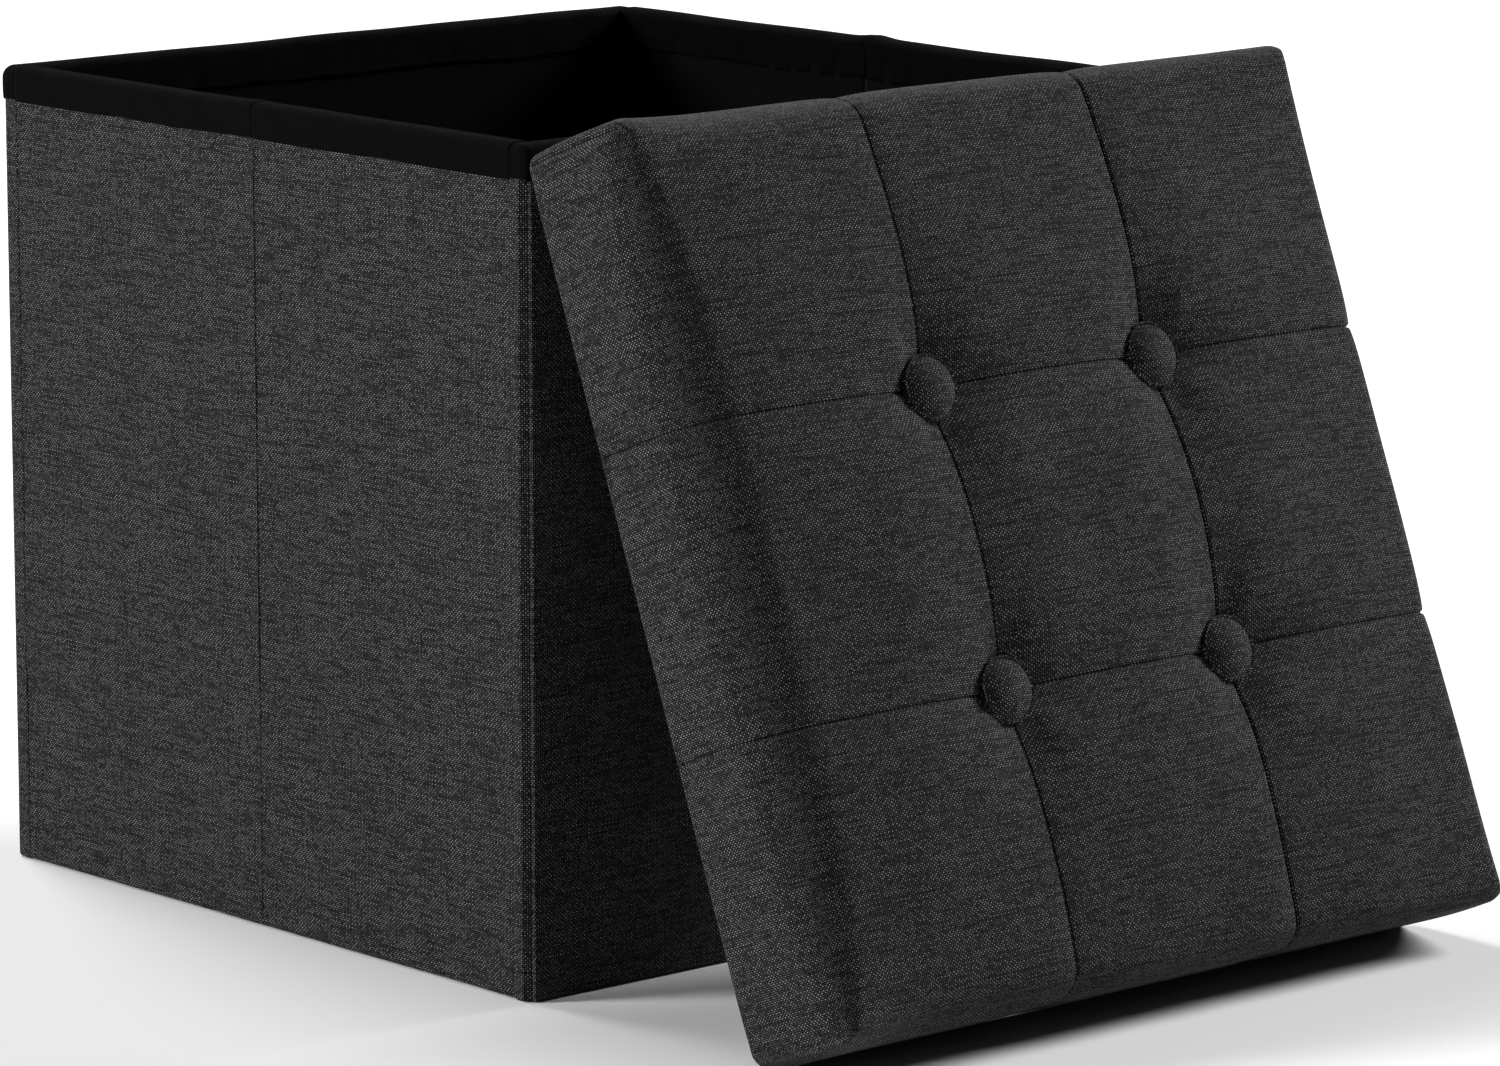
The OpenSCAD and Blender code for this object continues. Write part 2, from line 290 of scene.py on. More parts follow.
def linen(name, dark, dot, warp_tone):
    """Coarse plain weave of mottled charcoal yarn, with slubs along both threads."""
    s = Shader(name)
    u, v, warp_no, weft_no, weft, warp = plain_weave(s, WARP_PITCH, WEFT_PITCH)
    apart = 7.31                       # so far apart in the noise that neighbours have nothing in common
    slub_weft = s.noise(s.stretched(u, 50.0, weft_no, apart), 1.0, 3.0, 0.6)
    slub_warp = s.noise(s.stretched(warp_no, apart, v, 60.0, 9.0), 1.0, 2.0, 0.6)
    cell = s.node("TexWhiteNoise", {"Vector": s.vector(warp_no, weft_no)}, noise_dimensions="3D")
    rows = s.noise(s.stretched(u, 14.0, v, 160.0, 4.0), 1.0, 3.0, 0.65)
    mottle = s.noise(s.vector(u, v, 3.0), 30.0, 3.0, 0.6)
    light_weft = s.remap(slub_weft, 0.34, 0.66, 0.15, 1.85)
    light_warp = s.remap(slub_warp, 0.36, 0.64, 0.5, 1.5)
    light_cell = s.remap(cell.outputs["Value"], 0.0, 1.0, 0.1, 1.9)
    weft_lit = s.times(s.math("POWER", weft, 3.4), s.times(light_weft, light_cell))
    warp_lit = s.times(s.math("POWER", warp, 3.0), s.times(light_warp, warp_tone))
    yarn = s.plus(weft_lit, warp_lit)
    cloud = s.times(s.remap(mottle, 0.35, 0.65, 0.97, 1.03), s.remap(rows, 0.35, 0.65, 0.96, 1.04))
    brightest = 2.5
    color = s.mix(s.math("MINIMUM", s.times(yarn, cloud), brightest), dark, dot)
    height = s.plus(s.times(weft, light_weft), s.times(warp, 0.8))
    fuzz = s.noise(s.vector(u, v, 5.0), 2600.0, 2.0)
    height = s.plus(height, s.times(fuzz, 0.3))
    rough = s.remap(slub_weft, 0.3, 0.7, 0.95, 0.82)
    return s.finish(color, rough, height, 0.12 * MM,
                    sheen_weight=0.03, sheen_roughness=0.5, specular_ior_level=0.08)


def black_cloth(name, tone, lighter, pitch):
    """Fine matte black cloth."""
    s = Shader(name)
    u, v, _, weft_no, weft, warp = plain_weave(s, pitch, pitch)
    cloud = s.noise(s.vector(u, v), 60.0, 4.0, 0.6)
    thread = s.noise(s.stretched(u, 90.0, weft_no, 0.77), 1.0)
    tone_mix = s.plus(s.times(weft, 0.5), s.remap(cloud, 0.35, 0.65, 0.0, 0.6))
    tone_mix = s.times(tone_mix, s.remap(thread, 0.3, 0.7, 0.7, 1.3))
    height = s.plus(weft, s.times(warp, 0.9))
    height = s.plus(height, s.times(cloud, 2.0))
    return s.finish(s.mix(tone_mix, tone, lighter), s.remap(cloud, 0.3, 0.7, 0.78, 0.95), height,
                    0.06 * MM, specular_ior_level=0.03)


def felted(name, tone, lighter):
    """Black non-woven cloth with fine matted fibres, for CAD nodes, which have no cloth coordinates."""
    s = Shader(name)
    where = s.object_coordinates()
    fibres = s.noise(where, 900.0, 4.0, 0.7)
    cloud = s.noise(where, 40.0, 3.0, 0.6)
    fleck = s.cells(where, 1300.0)
    tone_mix = s.times(fibres, s.remap(cloud, 0.3, 0.7, 0.5, 1.2))
    height = s.plus(fibres, s.times(fleck, 0.6))
    return s.finish(s.mix(tone_mix, tone, lighter), s.remap(cloud, 0.3, 0.7, 0.8, 0.96), height,
                    0.15 * MM, sheen_weight=0.02, sheen_roughness=0.5, specular_ior_level=0.08)


def fibreboard():
    """Brown pressed board with chips and grain."""
    s = Shader("fibreboard")
    where = s.object_coordinates()
    chips = s.cells(where, 700.0)
    grain = s.noise(where, 160.0, 5.0, 0.7)
    tone_mix = s.times(grain, s.remap(chips, 0.0, 0.8, 1.3, 0.5))
    color = s.mix(tone_mix, (0.13, 0.075, 0.036, 1), (0.42, 0.27, 0.14, 1))
    return s.finish(color, s.remap(grain, 0.3, 0.7, 0.65, 0.88), chips, 0.12 * MM)


def foam_cells():
    """Pale yellow foam with open cells."""
    s = Shader("foam_cells")
    cells = s.cells(s.object_coordinates(), 1100.0)
    cloud = s.noise(s.object_coordinates(), 25.0)
    color = s.mix(s.times(cells, s.remap(cloud, 0.3, 0.7, 0.8, 1.4)),
                  (0.50, 0.43, 0.27, 1), (0.82, 0.76, 0.58, 1))
    return s.finish(color, s.remap(cells, 0.0, 0.7, 0.95, 0.8), cells, 0.3 * MM)


def twisted(name, tone, lighter, strand):
    """Twisted yarn: strands that run slantwise round the thread."""
    s = Shader(name)
    split = s.node("SeparateXYZ", {"Vector": s.object_coordinates()})
    along = s.plus(split.outputs["Z"], split.outputs["X"])
    along = s.plus(along, split.outputs["Y"])
    strands = s.math("ABSOLUTE", s.math("SINE", s.times(along, math.pi / strand)))
    fuzz = s.noise(s.object_coordinates(), 2200.0, 3.0, 0.7)
    tone_mix = s.times(strands, s.remap(fuzz, 0.3, 0.7, 0.5, 1.2))
    return s.finish(s.mix(tone_mix, tone, lighter), s.remap(fuzz, 0.3, 0.7, 0.7, 0.9), strands,
                    0.15 * MM, sheen_weight=0.1, specular_ior_level=0.2)


def galvanised():
    """Zinc-coated steel wire."""
    s = Shader("galvanised_wire")
    spangle = s.cells(s.object_coordinates(), 900.0)
    scratch = s.noise(s.object_coordinates(), 1800.0, 4.0, 0.7)
    color = s.mix(spangle, (0.42, 0.43, 0.45, 1), (0.66, 0.66, 0.68, 1))
    return s.finish(color, s.remap(scratch, 0.3, 0.7, 0.28, 0.5), scratch, 0.02 * MM, metallic=1.0)


LINEN = linen("linen", (0.0020, 0.0020, 0.0024, 1), (0.222, 0.222, 0.235, 1), 0.18)
BINDING = black_cloth("black_binding", (0.0004, 0.0004, 0.0006, 1), (0.0013, 0.0013, 0.0017, 1), 0.42 * MM)
LINING = black_cloth("black_lining", (0.0007, 0.0007, 0.0009, 1), (0.0026, 0.0026, 0.0031, 1), 0.6 * MM)
FELT = felted("black_felt", (0.0012, 0.0012, 0.0015, 1), (0.006, 0.006, 0.007, 1))
BOARD = fibreboard()
FOAM = foam_cells()
THREAD = twisted("sewing_thread", (0.004, 0.004, 0.005, 1), (0.018, 0.018, 0.021, 1), 0.5 * MM)
TWINE = twisted("waxed_twine", (0.34, 0.31, 0.24, 1), (0.78, 0.74, 0.63, 1), 0.8 * MM)
STEEL = galvanised()
NODE_FINISH = {
    "linen": LINEN, "fibreboard": BOARD, "black_lining": FELT, "black_binding": FELT,
    "thread": THREAD, "foam": FOAM, "twine": TWINE, "staple_steel": STEEL,
}
for part in frame["record"]["subparts"]:
    cad = frame["nodes"][part["node"]]
    cad.data.materials.clear()
    cad.data.materials.append(NODE_FINISH[part["material_slot"]])


# ---------------------------------------------------------------- walls
# Each wall is made in its own coordinates: s along it from its start, d in from its outer face, and z.
def at_front(s, d, z):
    """Starts at the left, seen from the front."""
    return np.stack([s - HALF, d - HALF, z], -1)


def at_back(s, d, z):
    """Starts at the right, seen from the front."""
    return np.stack([HALF - s, HALF - d, z], -1)


def at_left(far_end):
    """Runs forwards from its far end."""
    return lambda s, d, z: np.stack([d - HALF, far_end - s, z], -1)


def at_right(near_end):
    """Runs backwards from its near end."""
    return lambda s, d, z: np.stack([HALF - d, near_end + s, z], -1)


FULL = 2 * HALF
# name: (placing, length, which end is at the middle fold, gathers in the inner binding, seed)
WALLS = {
    "front": (at_front, FULL, None, 0.15, 11),
    "back": (at_back, FULL, None, 0.35, 12),
    "left_front": (at_left(-FOLD_AT), PANEL, "start", 0.25, 13),
    "left_rear": (at_left(FOLD_AT + PANEL), PANEL, "end", 0.25, 14),
    "right_front": (at_right(-FOLD_AT - PANEL), PANEL, "end", 1.0, 15),
    "right_rear": (at_right(FOLD_AT), PANEL, "start", 1.0, 16),
}
FOLD_R, CORNER_R = 0.3 * MM, 0.35 * MM             # rounding of a half panel's two ends
FOLD_TURN, CORNER_TURN = FOLD_AT - 0.01 * MM, 0.66 * MM    # how far its cover reaches past them
FACE_STEPS, ARC_STEPS, TURN_STEPS = 60, 7, 4
COVER_TOP = RIM - 1.6 * MM                         # the binding hides the cloth's upper edge
FULL_COVER_TOP = RIM - 8.5 * MM
DUCK = 0.95 * MM                                   # how far the cloth gives way to the binding
BINDING_TOP = RIM - 0.15 * MM


def by_end(fold, at_fold, at_corner):
    """A half panel's values at its start and at its end."""
    return (at_fold, at_corner) if fold == "start" else (at_corner, at_fold)


def under_binding(up):
    """1 close to the rim, 0 below that."""
    return smooth(up, RIM - 8 * MM, RIM - 4 * MM)


def slack(seed, along, up, wavelength):
    """Slack of stretched cloth, about 0 to 1."""
    return 0.5 + 0.5 * ripple(seed, along, up, wavelength)


def half_outline(length, fold):
    """Plan of a half panel's cover: outer and inner path of (along, depth)."""
    start_r, end_r = by_end(fold, FOLD_R, CORNER_R)
    start_turn, end_turn = by_end(fold, FOLD_TURN, CORNER_TURN)
    tail = WALL - 0.8 * MM                             # depth at which the turned cloth ends
    far = length + end_turn
    outer = np.concatenate([
        line((-start_turn, tail), (-start_turn, start_r + 0.5 * MM), TURN_STEPS),
        arc((start_r - start_turn, start_r), (start_r, start_r), 180, 270, ARC_STEPS),
        line((start_r + 1 * MM, 0), (far - end_r - 2 * MM, 0), FACE_STEPS),
        arc((far - end_r, end_r), (end_r, end_r), 270, 360, ARC_STEPS),
        line((far, end_r + 0.5 * MM), (far, tail), TURN_STEPS)])
    nook = 0.4 * MM
    inner = np.concatenate([
        line((0, tail), (0, SKIN + 0.8 * MM), TURN_STEPS),
        arc((nook, SKIN + nook), (nook, nook), 180, 270, ARC_STEPS),
        line((1 * MM, SKIN), (length - 1 * MM, SKIN), FACE_STEPS),
        arc((length - nook, SKIN + nook), (nook, nook), 270, 360, ARC_STEPS),
        line((length, SKIN + 0.8 * MM), (length, tail), TURN_STEPS)])
    return outer, inner


def full_outline(length, grooved):
    """Plan of a full wall's cover, turned round its ends, with a groove and a welt at its corners.

    Without them the ends are plain round corners.
    """
    hinge = WALL + 0.3 * MM                            # depth at which the turned cloth ends
    tail = line((0.3 * MM, hinge), (0.05 * MM, hinge - 0.4 * MM), 3)
    nook = 0.5 * MM                                    # rounding of the cloth's own inner corner
    if grooved:
        crease, groove, welt = 5.4 * MM, (2.9 * MM, 2.7 * MM), 1.5 * MM
        outer_start = np.concatenate([
            tail,
            line((0, hinge - 1 * MM), (0, crease), 5),
            line((0.3 * MM, crease - 0.25 * MM), groove, 8),
            arc((groove[0] + 1.1 * welt, welt), (welt, welt), 140, 270, 13)])
    else:
        corner_r = 4.5 * MM
        outer_start = np.concatenate([
            tail,
            line((0, hinge - 1 * MM), (0, corner_r + 0.5 * MM), 8),
            arc((corner_r, corner_r), (corner_r, corner_r), 180, 270, 18)])
    inner_start = np.concatenate([
        line((END_WRAP, hinge), (END_WRAP, SKIN + 1.4 * MM), 17),
        arc((END_WRAP + nook, SKIN + nook), (nook, nook), 180, 270, 12)])

    def whole(start, depth):
        mirror = np.array([[length, 0]]) + np.array([[-1, 1]]) * start[::-1]
        middle = line((12 * MM, depth), (length - 12 * MM, depth), FACE_STEPS)
        return np.concatenate([start, middle, mirror])
    return whole(outer_start, 0), whole(inner_start, SKIN)


def wall_cover(name, place, length, fold, seed):
    """The linen cover from the floor to under the binding, turned round the wall's ends."""
    outer, inner = half_outline(length, fold) if fold else full_outline(length, name == "front")
    foot_r = 1.6 * MM
    foot = HEM_FOOT + foot_r * (1 - np.cos(np.radians(np.linspace(0, 90, 5))))
    top = np.linspace(RIM - 8 * MM, COVER_TOP, 6) if fold else [FULL_COVER_TOP]
    heights = np.concatenate([foot, np.linspace(4 * MM, RIM - 9 * MM, 50), top])
    along = np.broadcast_to(outer[:, 0], (len(heights), len(outer)))
    up = np.broadcast_to(heights[:, None], along.shape)
    rise = np.clip((HEM_FOOT + foot_r - up) / foot_r, 0, 1)
    tuck_in = foot_r * (1 - np.sqrt(1 - rise ** 2))
    on_face = smooth(outer[:, 1], 0.8 * MM, 0)
    plan = np.stack([along, np.broadcast_to(outer[:, 1], along.shape)], -1)
    inwards = np.array([0, WALL / 2]) - plan * np.array([0, 1])
    inwards[..., 0] = np.clip(outer[:, 0].mean() - along, -1 * MM, 1 * MM) * (1 - on_face)
    inwards /= np.maximum(np.linalg.norm(inwards, axis=-1, keepdims=True), TINY)
    give = 0.45 * MM * on_face * slack(seed, along, up, 110 * MM)
    give = give + 0.25 * MM * on_face * slack(seed + 50, along * 3, up, 60 * MM)
    duck = DUCK * under_binding(up) * on_face
    plan = plan + inwards * (tuck_in + give + duck)[..., None]
    front = place(plan[..., 0], plan[..., 1], up)
    back = place(np.broadcast_to(inner[:, 0], along.shape), np.broadcast_to(inner[:, 1], along.shape), up)
    u = np.broadcast_to(path_length(outer), along.shape) + seed    # another stretch of cloth for each wall
    cover = thick_sheet(name + "_linen_cover", front, back, u, up, LINEN)
    return cover


def wall_lining(name, place, length, foot, seed):
    """The black cloth on a wall's inner face."""
    start, end = (END_WRAP, length - END_WRAP) if length == FULL else (0.0, length)
    heights = np.concatenate([np.linspace(foot, RIM - 9 * MM, 48), np.linspace(RIM - 8 * MM, COVER_TOP, 6)])
    along, up = np.meshgrid(np.linspace(start, end, 50), heights)
    edge = np.minimum(np.minimum(along - start, end - along), up - foot)
    drop = 0.7 * MM * (1 - smooth(edge, 0, 9 * MM))
    drop = drop + (DUCK - drop) * under_binding(up)
    give = 0.3 * MM * slack(seed + 20, along, up, 70 * MM)
    front = place(along, WALL - drop - give, up)
    back = place(along, np.full(up.shape, BOARD_BACK + 0.02 * MM), up)
    lining = thick_sheet(name + "_lining_cloth", front, back, along, up, LINING)
    return lining


def binding_path(out_leg, in_leg, proud):
    """Section of the binding over a rim: (depth, height below the rim), outside to inside."""
    crown_r, leg_steps = 3.2 * MM, 9
    low, high = -proud, WALL + proud
    return np.concatenate([
        line((low, -out_leg), (low, -crown_r - 0.6 * MM), leg_steps),
        arc((low + crown_r, -crown_r), (crown_r, crown_r), 180, 90, 7),
        line((low + crown_r + 1 * MM, 0), (high - crown_r - 1 * MM, 0), 3),
        arc((high - crown_r, -crown_r), (crown_r, crown_r), 90, 0, 7),
        line((high, -crown_r - 0.6 * MM), (high, -in_leg), leg_steps)])


def closing(near, reach):
    """How wide a full wall's binding is near its end, from nearly shut to full at the reach."""
    return np.maximum((1 - (1 - np.clip(near, 0, reach) / reach) ** 4) ** 0.25, 0.04)


def wall_binding(name, place, length, fold, gathers, seed):
    """The black binding folded over a wall's rim, its edges a little wavy."""
    outer = binding_path(OUT_LEG, IN_LEG, 0.3 * MM)
    inner = binding_path(OUT_LEG - 0.2 * MM, IN_LEG - 0.2 * MM, 0.25 * MM - BIND_T)
    inner[:, 1] -= np.where(inner[:, 1] > -4 * MM, BIND_T * 0.8, 0)
    if fold:
        start, end = by_end(fold, FOLD_AT - 0.02 * MM, 0.9 * MM)
        stations = np.linspace(-start, length + end, 130)
        wide_out = wide_in = np.ones_like(stations)
    else:
        ease, past_end = 3 * MM, 0.35 * MM
        edge = ease * (1 - np.cos(np.radians(np.linspace(7, 90, 10)))) - past_end
        edge = np.concatenate([[-past_end], edge, np.array([3.5, 4.4, 5.4, 6.6, 8]) * MM])
        even = np.linspace(9.5 * MM, length - 9.5 * MM, 205)
        stations = np.concatenate([edge, even, length - edge[::-1]])
        near = np.minimum(stations, length - stations) + past_end
        wide_out, wide_in = closing(near, ease), closing(near, 0.3 * MM)
    middle = WALL / 2 if fold else WALL - 0.8 * MM      # depth that the ends close towards
    round_r = (2.5 if name == "front" else 6) * MM      # of the rim's end, seen from the side

    def surface(path, out_k, in_k):
        s = stations[:, None]
        d, z = path[:, 0][None, :], path[:, 1][None, :]
        if not fold:
            z = np.where(near[:, None] < 1.2 * MM, np.maximum(z, 0.8 * MM - OUT_LEG), z)
        inside = d > middle
        depth = middle + (d - middle) * np.where(inside, in_k[:, None], out_k[:, None])
        leg = smooth(-z, 3 * MM, 16 * MM)
        wave = ripple(seed, s, s * 0, 70 * MM, 9) * 0.9 * MM
        wave = wave + ripple(seed + 1, s, s * 0, 22 * MM, 5) * 0.35 * MM
        wave = wave * np.where(inside, 1.0, 0.4)
        puff = np.sin(np.clip(-z / OUT_LEG, 0, 1) * math.pi) * 0.15 * MM
        loose = smooth(-z, 4 * MM, 12 * MM) * inside * gathers
        crinkle = ripple(seed + 2, s, z * 0.35, 13 * MM, 9) * loose * 0.55 * MM
        pinch = np.where(inside, 0.05, 0.3) * MM * smooth(-z, 12 * MM, 16 * MM)
        way = np.where(inside, 1, -1)
        depth = depth + way * (puff - pinch) + np.minimum(crinkle, 0.1 * MM)
        lift = 0.25 * MM * ripple(seed + 3, s, s * 0, 90 * MM) * (1 - leg)
        if fold:
            from_fold = s if fold == "start" else length - s
            lift = lift + 1.3 * MM * gathers * np.exp(-(from_fold / (9 * MM)) ** 2)
        else:
            e = np.clip(near[:, None] / round_r, 0.01, 1)
            upper = 1 - smooth(-z, 3 * MM, 14 * MM)
            lift = lift - round_r * (1 - np.sqrt(1 - (1 - e) ** 2)) * upper
        return place(np.broadcast_to(s, depth.shape), depth, BINDING_TOP + z + wave * leg + lift)

    tighter = 0.98                                      # the cloth's inner side against its outer one
    front = surface(outer, wide_out, wide_in)
    back = surface(inner, wide_out * tighter, wide_in * tighter)
    v, u = np.meshgrid(path_length(outer), stations)
    binding = thick_sheet(name + "_rim_binding", front, back, u, v, BINDING)
    return binding


def make_walls():
    """Cover, lining and binding of each wall. The moving walls' covers get meshes of their own."""
    for name, (place, length, fold, gathers, seed) in WALLS.items():
        moving = name != "front"
        cover = wall_cover(name, place, length, fold, seed)
        hem = [name + "_hem"] if moving else []
        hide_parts(name + "_cover", *hem)
        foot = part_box(name + "_lining")[0].z
        lining = wall_lining(name, place, length, foot, seed)
        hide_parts(name + "_lining")
        binding = wall_binding(name, place, length, fold, gathers, seed)
        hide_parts(name + "_binding")
        for piece in (cover, lining, binding):
            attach(piece, name + "_wall")
        if moving:
            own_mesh(cover)


def fold_stitches(side, x, body):
    """A row of stitches down the middle fold at x, each end of a stitch sunk in the crease."""
    bm = bmesh.new()
    layer = bm.loops.layers.uv.verify()
    low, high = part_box(side + "_fold_seam")
    count, sides, rings, radius = 90, 8, 6, 0.28 * MM
    pitch = (high.z - low.z) / count
    before, share = 0.08, 0.84                          # of the pitch: ahead of a stitch, and its length
    for i in range(count):
        previous = None
        for k in range(rings + 1):
            t = k / rings
            swell = radius * (0.25 + 0.75 * math.sin(math.pi * min(max(t, 0.02), 0.98)) ** 0.5)
            z = low.z + (i + before + share * t) * pitch
            sink = 0.25 * MM * (2 * t - 1) ** 2
            ring = []
            for j in range(sides):
                a = math.tau * j / sides
                across = (abs(x) - sink + swell * math.cos(a)) * math.copysign(1, x)
                ring.append(bm.verts.new((across, swell * math.sin(a), z)))
            if previous:
                for j in range(sides):
                    n = (j + 1) % sides
                    face = bm.faces.new([previous[j], previous[n], ring[n], ring[j]])
                    for loop in face.loops:
                        loop[layer].uv = (loop.vert.co.y, loop.vert.co.z)
            else:
                bm.faces.new(ring)
            previous = ring
        bm.faces.new(previous)
    stitches = new_piece(side + "_fold_stitches", bm, THREAD)
    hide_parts(side + "_fold_seam")
    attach(stitches, body)


# ---------------------------------------------------------------- base
def base_sleeve():
    """The loose base board's cloth sleeve, slightly uneven, with soft edges."""
    low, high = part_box("base_sleeve")
    edge_r = (high.z - low.z) / 2
    corner_r = 2.2 * MM                                 # in plan, small enough to hide the board's corner
    near_edge = np.array([0, 0.25, 0.7, 1.4, 2.5]) * MM
    middle = np.linspace(low.x + 6 * MM, high.x - 6 * MM, 70)
    spots = np.concatenate([low.x + near_edge, middle, (high.x - near_edge)[::-1]])
    x, y = np.meshgrid(spots, spots)
    edge = np.minimum(high.x - np.abs(x), high.x - np.abs(y))
    bulge = edge_r * np.sqrt(1 - (1 - np.clip(edge / edge_r, 0.04, 1)) ** 2)
    uneven = 0.22 * MM * ripple(31, x, y, 90 * MM) * smooth(edge, 0, 20 * MM)
    past_x, past_y = (np.maximum(np.abs(way) - high.x + corner_r, 0) for way in (x, y))
    corner = np.maximum(np.hypot(past_x, past_y) - corner_r, 0)
    pull = 1 - corner / high.x
    top = np.stack([x * pull, y * pull, edge_r + bulge + np.minimum(uneven, 0)], -1)
    under = np.stack([x * pull, y * pull, edge_r - bulge], -1)
    sleeve = thick_sheet("base_cloth_sleeve", top, under, x, y, LINING)
    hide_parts("base_sleeve")
    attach(sleeve, "base")


# ---------------------------------------------------------------- lid
TOP_CORNER_R, TOP_EDGE_R, FOOT_R = 7 * MM, 12 * MM, 4 * MM
LOW_CORNER_R = 10 * MM                             # of the two corners that stand on the floor
SOFT_EDGE_R = 25 * MM                              # of the left edge, which is rounder
PIT_R, PIT_DEPTH = 13 * MM, 10.5 * MM              # of the dent round each button
FOAM_INSET = 3.3 * MM


def lid_line():
    """Coordinates across the lid: fine at the seams and at the edges."""
    fringe = np.concatenate([[0, 0.4, 0.8, 1.3], np.arange(1.9, 7, 0.55), np.arange(7.8, 25, 1.6)]) * MM
    fringe = LID_HALF - fringe
    inner = np.linspace(26 * MM - LID_HALF, LID_HALF - 26 * MM, 113)
    inner = inner[np.abs(np.abs(inner) - SEAM_AT) > 3.8 * MM]
    seam = np.arange(-7, 8) * 0.45 * MM
    return np.sort(np.concatenate([inner, fringe, -fringe, SEAM_AT + seam, -SEAM_AT - seam]))


def round_box(p):
    """Points on the lid's plain block to points and normals on the block with soft edges."""
    x, y, n = p[..., 0], p[..., 1], p[..., 2]
    to_corner = np.minimum(np.abs(x), np.abs(y)) / LID_HALF    # along an edge: 0 at its middle, 1 at its ends
    edge_r = TOP_EDGE_R + (SOFT_EDGE_R - TOP_EDGE_R) * smooth(-x / LID_HALF, 0.1, 0.9)
    top_r = TOP_CORNER_R + (edge_r - TOP_CORNER_R) * (1 - to_corner ** 5)
    foot_corner_r = np.where(y < 0, LOW_CORNER_R, TOP_CORNER_R)
    foot_r = FOOT_R + (foot_corner_r - FOOT_R) * smooth(to_corner, 0.85, 1)
    high = smooth(n, 12 * MM, 45 * MM)
    plan_r = foot_r * (1 - high) + top_r * high
    core = np.stack([np.clip(x, plan_r - LID_HALF, LID_HALF - plan_r),
                     np.clip(y, plan_r - LID_HALF, LID_HALF - plan_r),
                     np.clip(n, LID_FOOT + FOOT_R, LID_EDGE - top_r)], -1)
    radii = np.stack([plan_r, plan_r, np.where(n > LID_EDGE / 2, top_r, FOOT_R)], -1)
    way = (p - core) / radii
    way = way / np.maximum(np.linalg.norm(way, axis=-1, keepdims=True), TINY)
    return core + way * radii, way


def button_pits(x, y):
    """Height that the buttons take from the face, with small folds that run out from each."""
    rng = np.random.default_rng(5)
    ease = 2.5 * MM
    height = 0
    for bx, by in BUTTON_SPOTS:
        r, turn = np.hypot(x - bx, y - by), np.arctan2(y - by, x - bx)
        reach = (14 + 13 * np.cos(2 * turn) ** 2) * MM      # longer along the seams
        past = np.log1p(np.exp((r - PIT_R) / ease)) * ease
        height = height - PIT_DEPTH * np.exp(-past / reach)
        folds = sum(np.cos(k * turn + rng.uniform(0, math.tau)) for k in (5, 7, 9, 11)) / 2
        height = height + 0.32 * MM * folds * np.exp(-((r - 24 * MM) / (9 * MM)) ** 2)
    return height


def seam_grooves(x, y, facing_out):
    """Depth of the four tufting seams, and of the upright seam down each corner."""
    from_x, from_y = np.abs(np.abs(x) - SEAM_AT), np.abs(np.abs(y) - SEAM_AT)
    width = 0.7 * MM
    upright = np.where(x < 0, 0.6 * MM, 1.0 * MM)           # the left one is pulled in less
    across = 1.35 * MM
    groove = np.maximum(upright * np.exp(-(from_x / width) ** 2), across * np.exp(-(from_y / width) ** 2))
    offset, corner_width = 3.0 * MM, 0.9 * MM
    from_seam = (np.abs(x) - np.abs(y)) / math.sqrt(2) - offset
    at_corner = smooth(np.minimum(np.abs(x), np.abs(y)), LID_HALF - 14 * MM, LID_HALF - 9 * MM)
    drawn_in = np.where((x < 0) & (y > 0), 1.9 * MM, 0.5 * MM)
    seam = np.exp(-(from_seam / corner_width) ** 2) * at_corner * (1 - smooth(facing_out, 0.6, 0.9))
    return groove + drawn_in * seam


def cushion(p, grooves=True):
    """The padded cover's surface: crown, panels swelling between seams, and button pits."""
    q, way = round_box(p)
    x, y = q[..., 0], q[..., 1]
    facing_out = np.clip(way[..., 2], 0, 1)
    from_x, from_y = np.abs(np.abs(x) - SEAM_AT), np.abs(np.abs(y) - SEAM_AT)
    soft = 8 * MM
    swell = (1 - np.exp(-from_x / soft)) * (1 - np.exp(-from_y / soft)) - 1
    crown = LID_CROWN * (1 - np.abs(x / LID_HALF) ** 2.6) * (1 - np.abs(y / LID_HALF) ** 2.6)
    out = crown + button_pits(x, y) + 0.45 * MM * ripple(41, x, y, 85 * MM)
    side = 1 - smooth(facing_out, 0, 0.5)
    up_side = np.clip((q[..., 2] - LID_FOOT) / (LID_EDGE - LID_FOOT), 0, 1)
    belly = 1.2 * MM * side * np.sin(up_side * math.pi)
    shift = 1.7 * MM * swell * np.maximum(facing_out, 0.75) + belly - 0.4 * MM
    if grooves:
        shift = shift - seam_grooves(x, y, facing_out)
    level = smooth(way[..., 2], -0.5, 0)                    # the underside stays flat
    q = q + way * (shift * level)[..., None]
    q[..., 2] += out * facing_out
    return q, way


def block_faces(line_xy, line_n):
    """The six faces of the lid's block as grids, each with its cloth coordinates."""
    a, b = np.meshgrid(line_xy, line_xy)
    c, n = np.meshgrid(line_xy, line_n)
    edge = np.full(c.shape, LID_HALF)
    down = LID_EDGE - n
    yield np.stack([a, b, np.full(a.shape, LID_EDGE)], -1), a, b
    yield np.stack([a, b, np.full(a.shape, LID_FOOT)], -1), a, b
    yield np.stack([edge, c, n], -1), edge + down, c
    yield np.stack([-edge, c, n], -1), -edge - down, c
    yield np.stack([c, edge, n], -1), c, edge + down
    yield np.stack([c, -edge, n], -1), c, -edge - down


def closed_block(name, line_xy, line_n, shape, material):
    """The lid's block as one closed piece, its points moved by the function shape."""
    bm = bmesh.new()
    for points, u, v in block_faces(line_xy, line_n):
        add_grid(bm, lid_point(shape(points)), u, v)
    bmesh.ops.remove_doubles(bm, verts=bm.verts, dist=0.02 * MM)
    return new_piece(name, bm, material)


